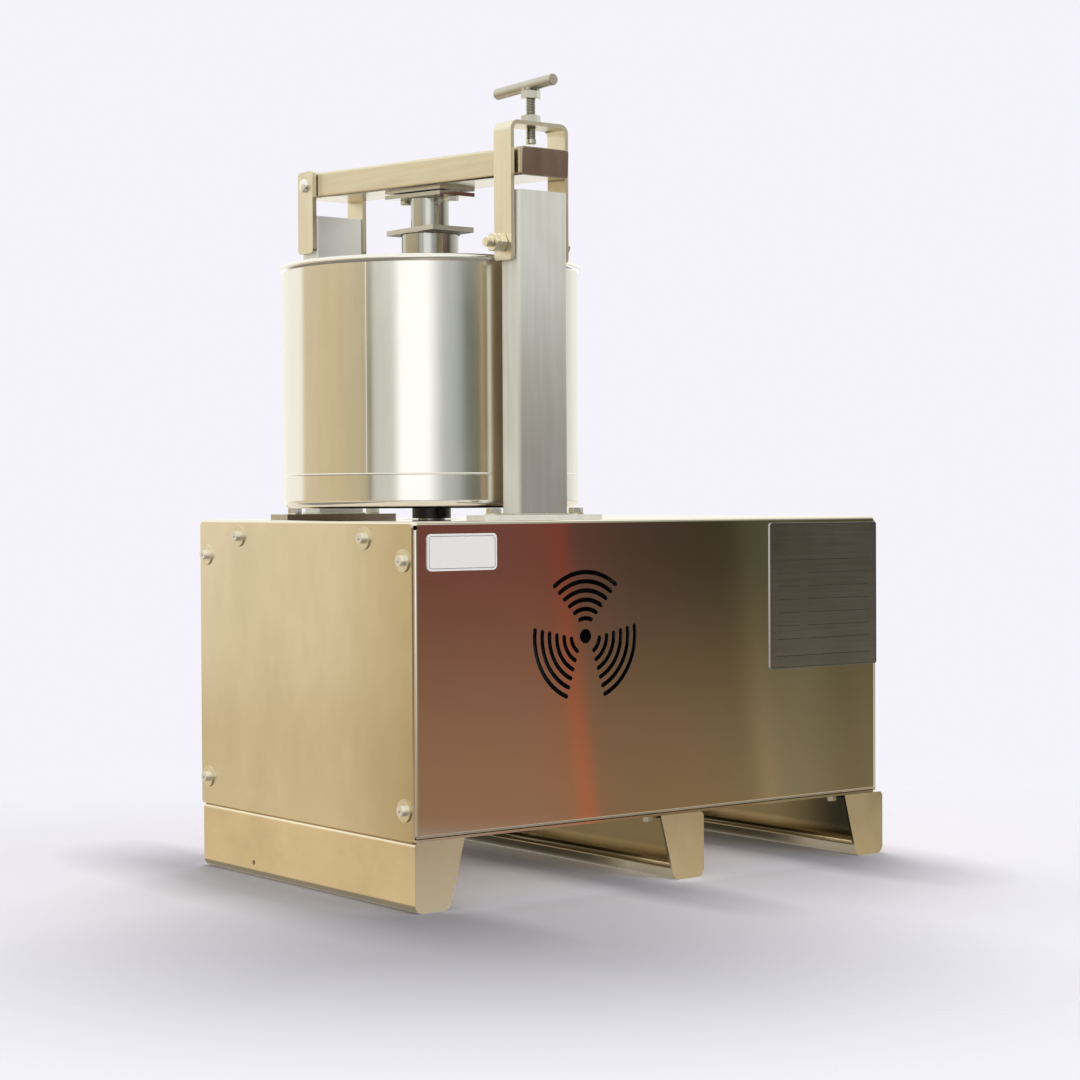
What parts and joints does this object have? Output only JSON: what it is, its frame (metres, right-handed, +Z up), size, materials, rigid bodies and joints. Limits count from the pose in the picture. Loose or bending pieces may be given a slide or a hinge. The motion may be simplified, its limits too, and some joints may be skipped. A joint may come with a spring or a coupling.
{
  "type": "chocolate grinder",
  "caption": "Table-top stone melanger: a motor cabinet on folded legs turns an open drum under granite rollers held down by a hinged beam with a clamping stirrup.",
  "frame": {"origin": "on the floor, under the middle of the machine's box", "axes": "+X along the vented front towards the end without the drum, +Y from the vented front to the back, +Z up"},
  "size_m": [0.6298, 0.4203, 0.8034],
  "materials": {
    "cabinet_steel": "brushed stainless sheet",
    "polished_steel": "polished stainless",
    "tube_steel": "fine brushed stainless tube and plate",
    "fastener_steel": "bright stainless",
    "shaft_steel": "turned steel",
    "black_hub": "satin black",
    "granite": "honed dark granite",
    "bronze": "turned bronze",
    "urethane": "cast urethane",
    "scraper_plastic": "white food-grade plastic",
    "machine_paint": "grey-blue machine paint over cast aluminium",
    "bracket_steel": "grey paint",
    "black_plastic": "moulded black plastic"
  },
  "bodies": {
    "stand": {"housing": "cabinet_steel", "left_end_panel": "cabinet_steel", "right_end_panel": "cabinet_steel", "panel_screws": "fastener_steel", "flat_washers": "fastener_steel", "base_plate": "cabinet_steel", "left_leg": "cabinet_steel", "middle_leg": "cabinet_steel", "right_leg": "cabinet_steel", "base_bolts": "fastener_steel", "gearbox": "machine_paint", "gearbox_stand": "bracket_steel", "top_bearing": "machine_paint", "motor": "machine_paint", "motor_cradle": "bracket_steel", "terminal_box": "machine_paint", "fan_cover": "bracket_steel", "front_post": "tube_steel", "rear_post": "tube_steel", "front_foot_plate": "tube_steel", "rear_foot_plate": "tube_steel", "foot_bolts": "fastener_steel", "hinge_ears": "tube_steel", "hinge_bolt": "fastener_steel", "pivot_bolt": "fastener_steel", "pivot_nuts": "fastener_steel", "switch_body": "black_plastic", "power_inlet": "black_plastic"},
    "motor_rotor": {"motor_shaft": "shaft_steel", "cooling_fan": "black_plastic"},
    "drum": {"drum_shell": "polished_steel", "drum_hub": "black_hub", "drive_shaft": "shaft_steel", "base_stone": "granite", "centre_post": "tube_steel"},
    "beam": {"beam_tube": "tube_steel", "beam_end_cap": "tube_steel", "hinge_bush": "bronze", "beam_flange": "tube_steel", "pressure_tube": "tube_steel", "flange_bolts": "fastener_steel"},
    "stone_holder": {"holder_plate": "tube_steel", "holder_tube": "tube_steel", "pressure_spring": "urethane", "roller_axles": "tube_steel", "axle_nuts": "fastener_steel", "scraper_arm": "tube_steel", "scraper_blade": "scraper_plastic"},
    "left_roller": {"left_roller_stone": "granite", "left_roller_bush": "bronze"},
    "right_roller": {"right_roller_stone": "granite", "right_roller_bush": "bronze"},
    "stirrup": {"stirrup": "tube_steel", "stirrup_nut": "fastener_steel"},
    "clamp_nose": {"clamp_nose": "fastener_steel"},
    "clamp_screw": {"clamp_screw": "fastener_steel", "handle_nut": "fastener_steel", "handle_bar": "tube_steel"},
    "rocker": {"rocker": "black_plastic"}
  },
  "joints": [
    {"name": "drum_spin", "type": "hinge", "parent": "stand", "child": "drum", "pos_m": [-0.146, 0, 0.382], "axis": [0, 0, 1], "continuous": true},
    {"name": "motor_spin", "type": "hinge", "parent": "stand", "child": "motor_rotor", "pos_m": [0, 0, 0.2], "axis": [1, 0, 0], "continuous": true},
    {"name": "beam_lift", "type": "hinge", "parent": "stand", "child": "beam", "pos_m": [-0.146, 0.188, 0.735], "axis": [-1, 0, 0], "range_deg": [0, 0.5]},
    {"name": "holder_float", "type": "slide", "parent": "beam", "child": "stone_holder", "axis": [0, 0, 1], "range_m": [0, 0.006], "stiffness_N_per_m": 20000, "springref_m": -0.001, "deforming": ["pressure_spring"]},
    {"name": "left_roller_spin", "type": "hinge", "parent": "stone_holder", "child": "left_roller", "pos_m": [-0.146, 0, 0.4713], "axis": [1, 0, 0], "continuous": true},
    {"name": "right_roller_spin", "type": "hinge", "parent": "stone_holder", "child": "right_roller", "pos_m": [-0.146, 0, 0.4713], "axis": [1, 0, 0], "continuous": true},
    {"name": "stirrup_swing", "type": "hinge", "parent": "stand", "child": "stirrup", "pos_m": [-0.146, -0.174, 0.641], "axis": [1, 0, 0], "range_deg": [0, 150]},
    {"name": "screw_feed", "type": "slide", "parent": "stirrup", "child": "clamp_nose", "axis": [0, 0, 1], "range_m": [-0.004, 0.011]},
    {"name": "screw_turn", "type": "hinge", "parent": "clamp_nose", "child": "clamp_screw", "pos_m": [-0.146, -0.174, 0.79], "axis": [0, 0, 1], "range_deg": [-962, 2642]},
    {"name": "rocker_tilt", "type": "hinge", "parent": "stand", "child": "rocker", "pos_m": [0.3078, 0.12, 0.175], "axis": [0, 1, 0], "range_deg": [0, 16]}
  ],
  "couplings": [
    {"joint": "motor_spin", "follows": "drum_spin", "ratio": 15},
    {"joint": "left_roller_spin", "follows": "drum_spin", "ratio": -1.4873},
    {"joint": "right_roller_spin", "follows": "drum_spin", "ratio": 1.4873},
    {"joint": "screw_turn", "follows": "screw_feed", "rad_per_m": 4188.8}
  ]
}
